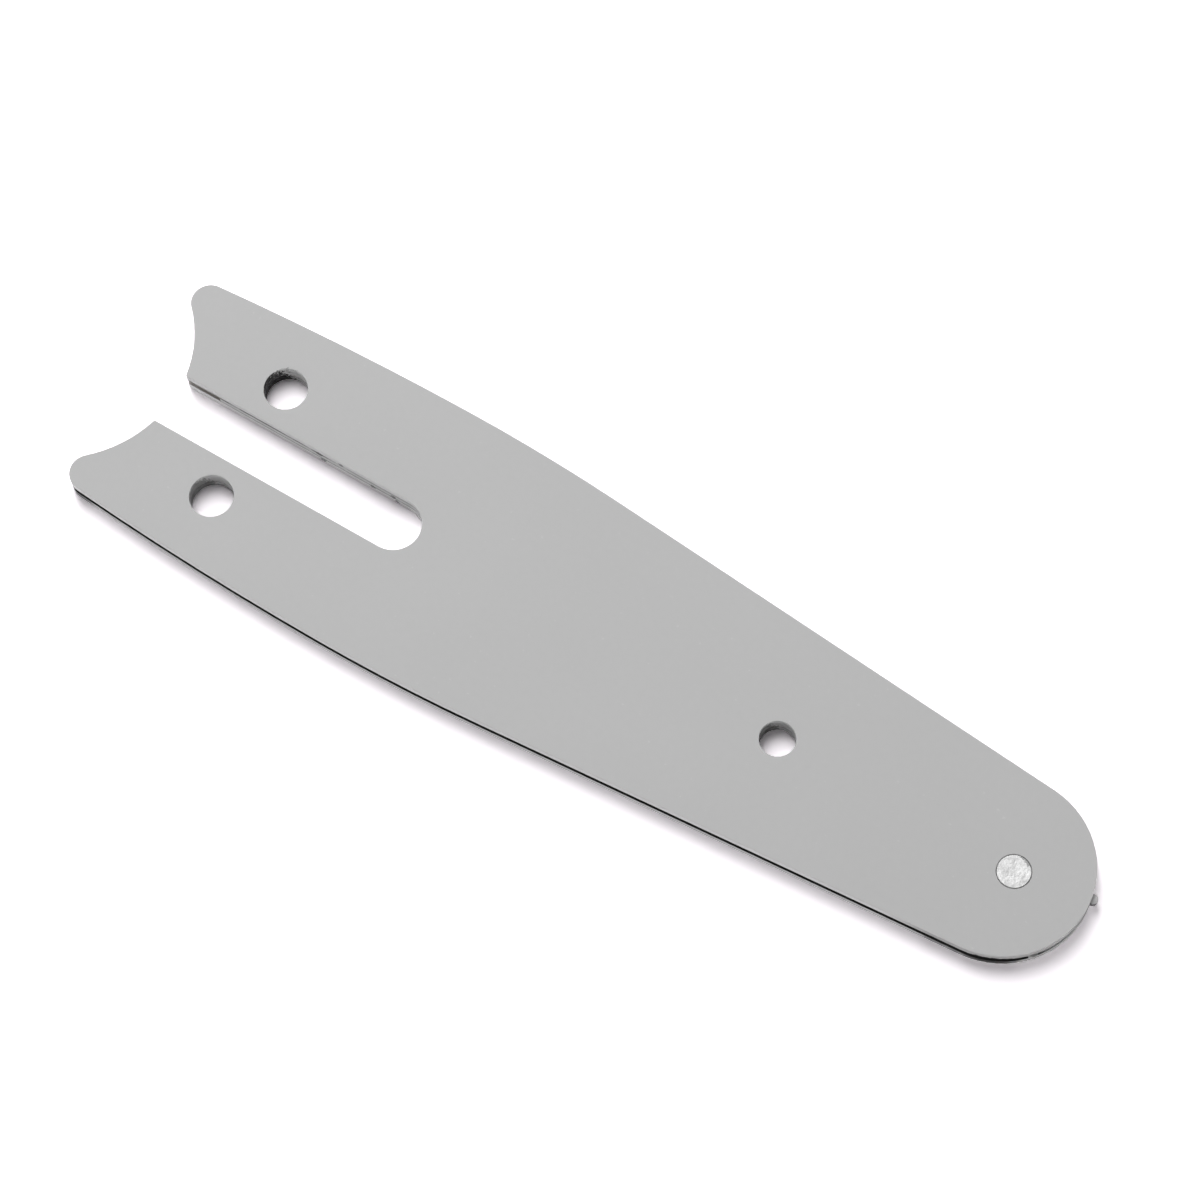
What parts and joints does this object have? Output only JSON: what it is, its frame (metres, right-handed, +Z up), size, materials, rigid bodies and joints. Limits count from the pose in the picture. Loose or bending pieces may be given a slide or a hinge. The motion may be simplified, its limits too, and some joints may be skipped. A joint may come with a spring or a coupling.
{
  "type": "chainsaw guide bar",
  "caption": "Short laminated chainsaw guide bar with a chain groove around its edge, an open tail slot and a roller sprocket that turns on a rivet at the nose.",
  "frame": {"origin": "on the slot's centre line, midway between the two tensioner holes, in the plane of the lower face, where a saw locates the bar", "axes": "+X along the bar from the tail to the nose, +Y across the bar to its left, +Z up out of the lower face through the thickness"},
  "size_m": [0.1519, 0.039, 0.0035],
  "materials": {
    "painted_plate": "matt light grey",
    "core_steel": "dull, dark in the groove",
    "sprocket_steel": "hardened, dull",
    "rivet_steel": "bright, hammered flush",
    "bearing_steel": "ground"
  },
  "bodies": {
    "bar": {"upper_side_plate": "painted_plate", "core_plate": "core_steel", "lower_side_plate": "painted_plate", "nose_rivet": "rivet_steel", "bearing_race": "bearing_steel"},
    "sprocket": {"nose_sprocket": "sprocket_steel"},
    "rollers": {"bearing_rollers": "bearing_steel"}
  },
  "joints": [
    {"name": "sprocket_spin", "type": "hinge", "parent": "bar", "child": "sprocket", "pos_m": [0.1212, 0, 0.00175], "axis": [0, 0, 1], "continuous": true},
    {"name": "roller_orbit", "type": "hinge", "parent": "bar", "child": "rollers", "pos_m": [0.1212, 0, 0.00175], "axis": [0, 0, 1], "continuous": true}
  ],
  "couplings": [
    {"joint": "roller_orbit", "follows": "sprocket_spin", "ratio": 0.5714}
  ]
}
